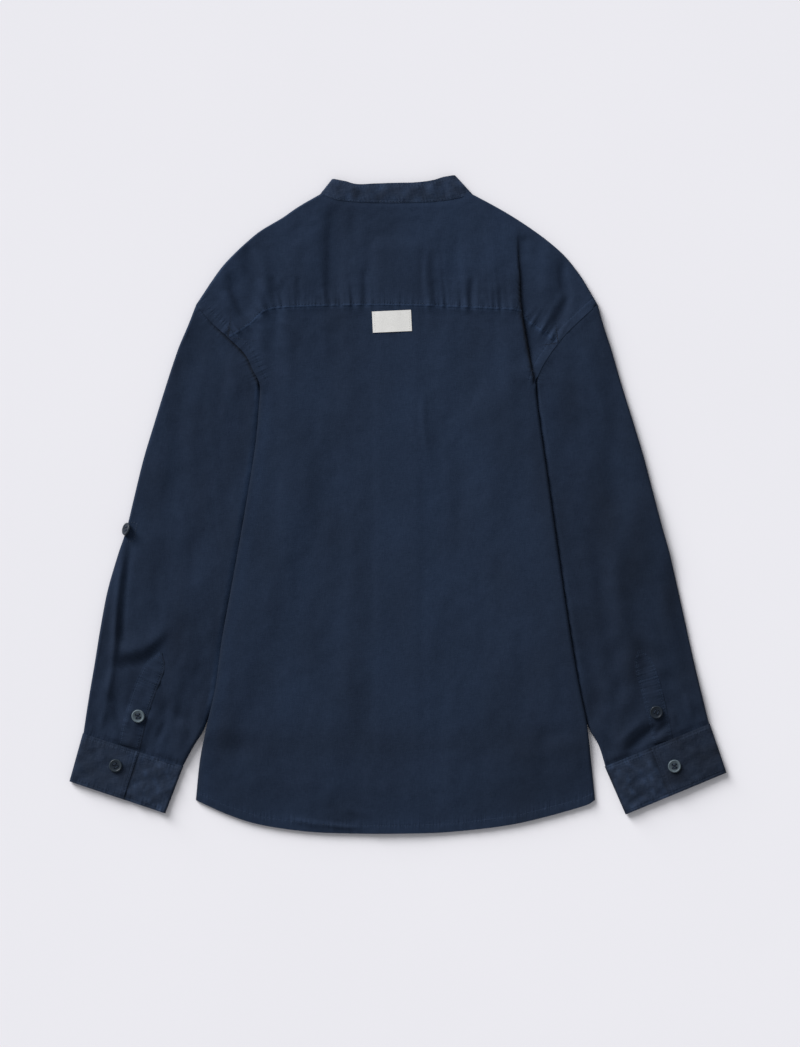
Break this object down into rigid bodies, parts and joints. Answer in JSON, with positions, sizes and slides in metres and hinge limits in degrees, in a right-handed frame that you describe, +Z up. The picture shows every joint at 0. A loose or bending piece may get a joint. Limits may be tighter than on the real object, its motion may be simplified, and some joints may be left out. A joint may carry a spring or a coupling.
{
  "type": "mandarin collar shirt",
  "caption": "Child's long-sleeved shirt with a stand-up mandarin collar, back yoke, rounded hem and buttoned cuffs, laid flat on its front with the sleeves beside the body.",
  "frame": {"origin": "middle of the laid shirt's outline, on the surface that it lies on", "axes": "+Z up from the surface, through the back of the shirt; +Y to the collar; +X to the wearer's right"},
  "size_m": [0.578, 0.579, 0.0105],
  "materials": {
    "shirt_cloth": "matte plain-woven cotton, dark navy",
    "band_cloth": "matte plain-woven cotton over interlining, dark navy",
    "label_cloth": "off-white woven tape",
    "button_plastic": "satin navy resin with a glossy rim"
  },
  "bodies": {
    "root": {"back": "shirt_cloth", "back_yoke": "shirt_cloth", "front_left": "shirt_cloth", "front_right": "shirt_cloth", "sleeve_left": "shirt_cloth", "sleeve_right": "shirt_cloth", "sleeve_placket_left": "band_cloth", "sleeve_placket_right": "band_cloth", "cuff_left": "band_cloth", "cuff_right": "band_cloth", "collar_stand": "band_cloth", "back_label": "label_cloth", "collar_button": "button_plastic", "front_button_1": "button_plastic", "front_button_2": "button_plastic", "front_button_3": "button_plastic", "front_button_4": "button_plastic", "front_button_5": "button_plastic", "front_button_6": "button_plastic", "cuff_button_left": "button_plastic", "cuff_button_right": "button_plastic", "placket_button_left": "button_plastic", "placket_button_right": "button_plastic", "tab_button_left": "button_plastic", "tab_button_right": "button_plastic"}
  },
  "joints": []
}
